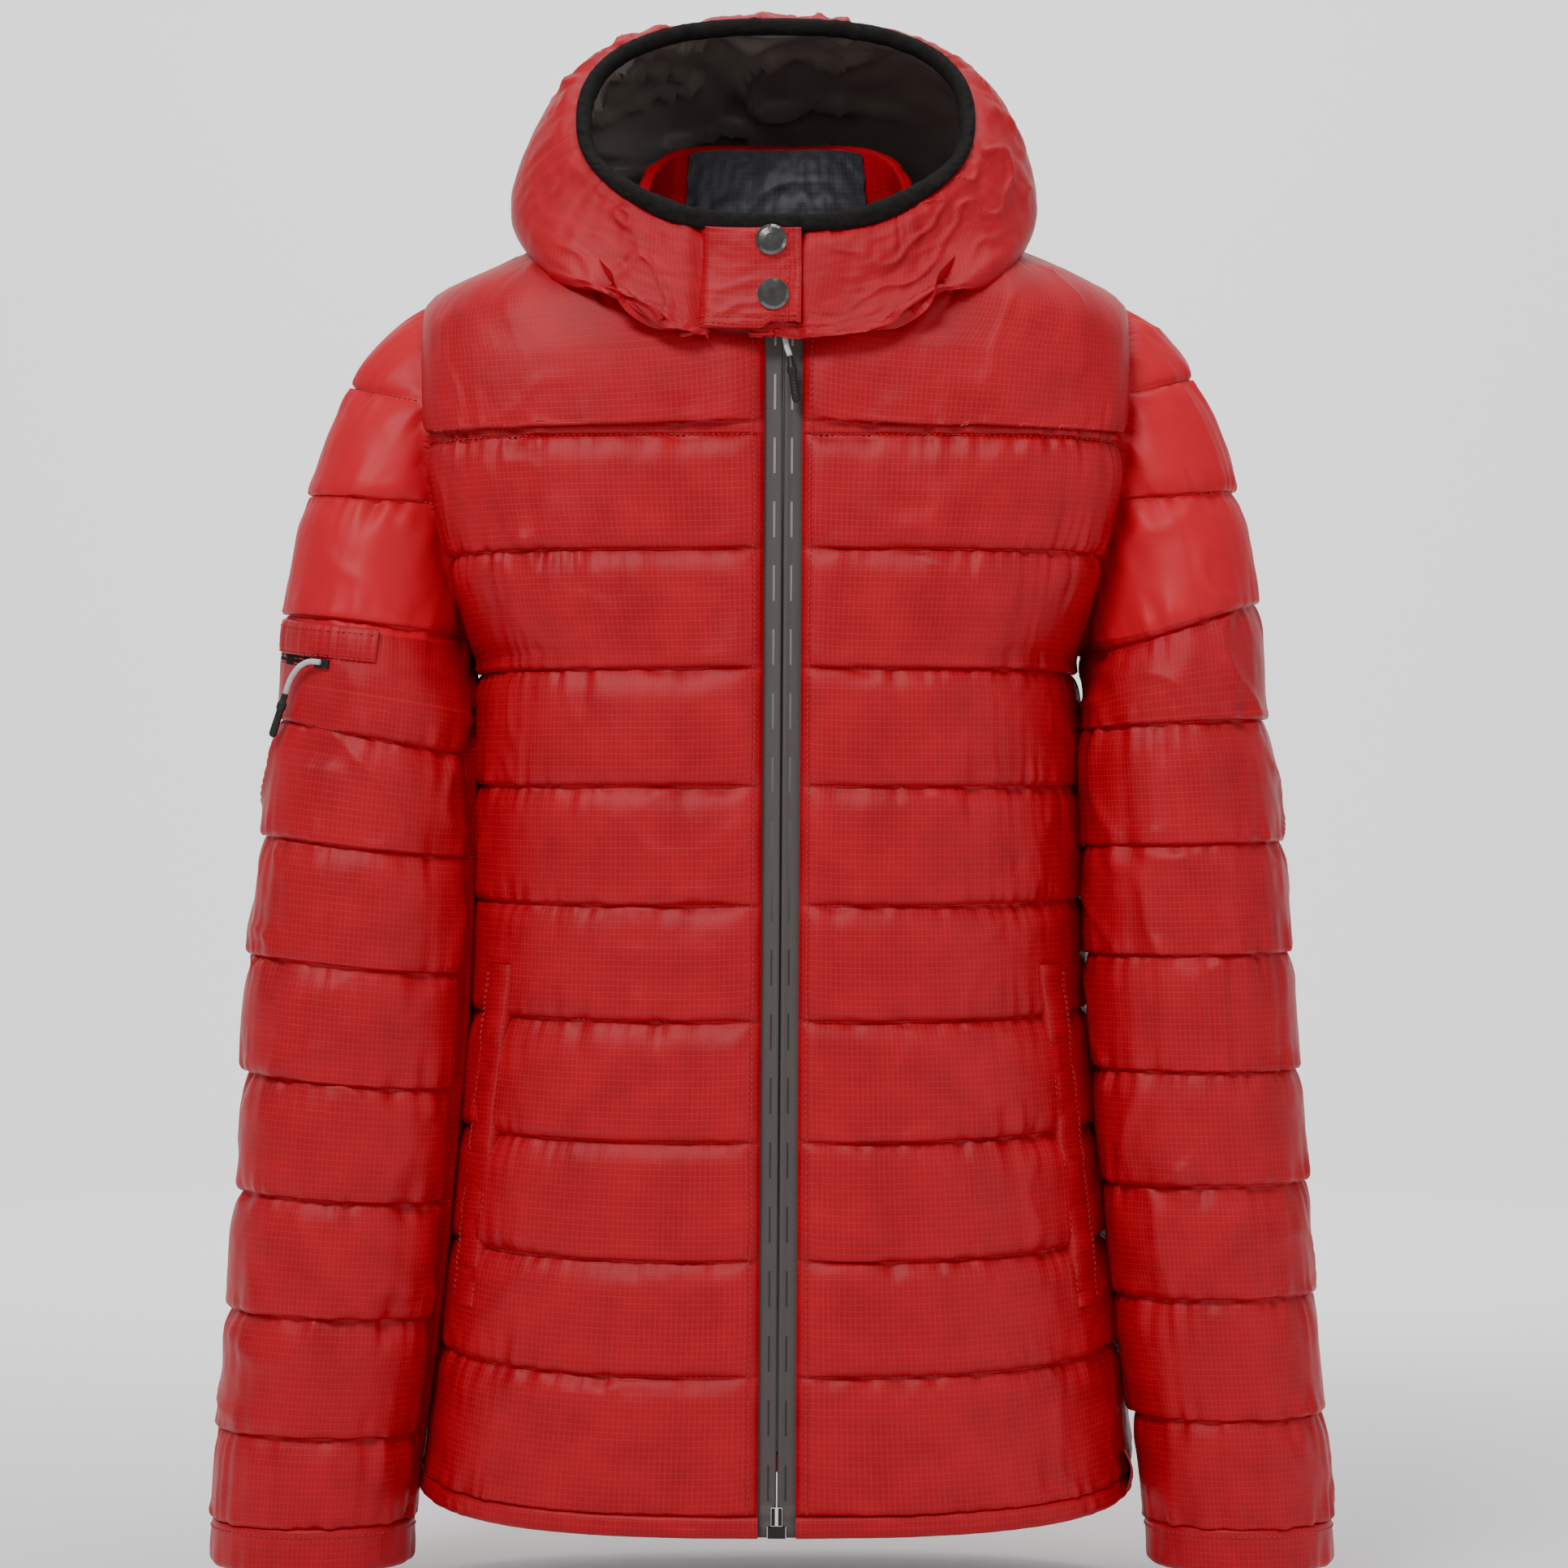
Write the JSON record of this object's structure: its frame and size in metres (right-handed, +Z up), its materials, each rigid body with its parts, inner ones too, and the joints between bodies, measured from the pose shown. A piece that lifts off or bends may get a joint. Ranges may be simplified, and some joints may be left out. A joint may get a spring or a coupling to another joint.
{
  "type": "ski jacket",
  "caption": "padded ski jacket with a hood, full front zip with a cord pull, snapped neck flap, zipped sleeve pocket and two welted hand pockets",
  "frame": {"origin": "the underside of the hanger loop inside the back of the neck, where a hook bears", "axes": "+Z up along the jacket, -Y out of its front, +X towards the wearer's left arm"},
  "size_m": [0.6124, 0.2826, 0.848],
  "materials": {
    "shell": "red ripstop nylon with a satin sheen, quilted over wadding",
    "trim": "the shell's red ripstop, stitched flat",
    "lining": "dark brown-grey satin lining",
    "facing": "dark grey ripstop collar facing",
    "elastic": "black ribbed elastic binding",
    "tape": null,
    "plastic": "black moulded acetal",
    "cord": "light grey cord",
    "snap": "dark nickel snap"
  },
  "bodies": {
    "root": {"front_yoke_right": "shell", "front_yoke_left": "shell", "front_panel_right": "shell", "front_panel_left": "shell", "back_yoke": "shell", "back_panel": "shell", "sleeve_head_right": "shell", "sleeve_head_left": "shell", "collar": "shell", "neck_band": "shell", "hem_band_right": "trim", "hem_band_left": "trim", "hem_band_back": "trim", "welt_right": "trim", "welt_left": "trim", "side_label": "trim", "lining_front_right": "lining", "lining_front_left": "lining", "lining_back": "lining", "pocket_bag_right": "lining", "pocket_bag_left": "lining", "collar_facing": "facing", "chin_binding_right": "elastic", "chin_binding_left": "elastic", "hanger_loop": "elastic", "zip_tape_right": "tape", "zip_tape_left": "tape", "zip_retainer_box": "plastic", "zip_pin_right": "plastic", "zip_pin_left": "plastic", "snap_stud_upper": "snap", "snap_stud_lower": "snap"},
    "main_slider": {"zip_slider": "plastic"},
    "main_pull": {"zip_pull_cord": "cord", "zip_pull_grip": "plastic"},
    "neck_flap_body": {"neck_flap": "shell", "flap_binding": "elastic", "snap_cap_upper": "snap", "snap_cap_lower": "snap", "snap_socket_upper": "snap", "snap_socket_lower": "snap"},
    "hood": {"hood_centre": "shell", "hood_side_right": "shell", "hood_side_left": "shell", "hood_lining": "lining", "hood_binding": "elastic"},
    "right_arm": {"sleeve_right": "shell", "cuff_right": "trim", "sleeve_lining_right": "lining", "arm_pocket_flap": "trim", "arm_pocket_tape": "tape"},
    "left_arm": {"sleeve_left": "shell", "cuff_left": "trim", "sleeve_lining_left": "lining"},
    "arm_slider": {"arm_pocket_slider": "plastic"},
    "arm_pull": {"arm_pull_cord": "cord", "arm_pull_grip": "plastic"}
  },
  "joints": [
    {"name": "main_zip", "type": "slide", "parent": "root", "child": "main_slider", "axis": [-0.0063, -0.0345, -0.9994], "range_m": [0, 0.63]},
    {"name": "main_pull_lift", "type": "hinge", "parent": "main_slider", "child": "main_pull", "pos_m": [0.0045, -0.1592, -0.0603], "axis": [-1, 0, 0.0063], "range_deg": [0, 75]},
    {"name": "neck_flap_open", "type": "hinge", "parent": "root", "child": "neck_flap_body", "pos_m": [-0.038, -0.1705, -0.058], "axis": [0, -0.128, -0.9918], "range_deg": [0, 110]},
    {"name": "hood_fall_back", "type": "hinge", "parent": "root", "child": "hood", "pos_m": [0, -0.01, -0.002], "axis": [-1, 0, 0], "range_deg": [0, 35]},
    {"name": "right_sleeve_swing", "type": "hinge", "parent": "root", "child": "right_arm", "pos_m": [-0.197, -0.05, -0.107], "axis": [0, 1, 0], "range_deg": [0, 40]},
    {"name": "left_sleeve_swing", "type": "hinge", "parent": "root", "child": "left_arm", "pos_m": [0.197, -0.05, -0.107], "axis": [0, -1, 0], "range_deg": [0, 40]},
    {"name": "arm_zip", "type": "slide", "parent": "right_arm", "child": "arm_slider", "axis": [0.8355, -0.5389, -0.1073], "range_m": [0, 0.02]},
    {"name": "arm_pull_lift", "type": "hinge", "parent": "arm_slider", "child": "arm_pull", "pos_m": [-0.244, -0.139, -0.2368], "axis": [-0.8355, 0.5389, 0.1073], "range_deg": [0, 70]}
  ]
}
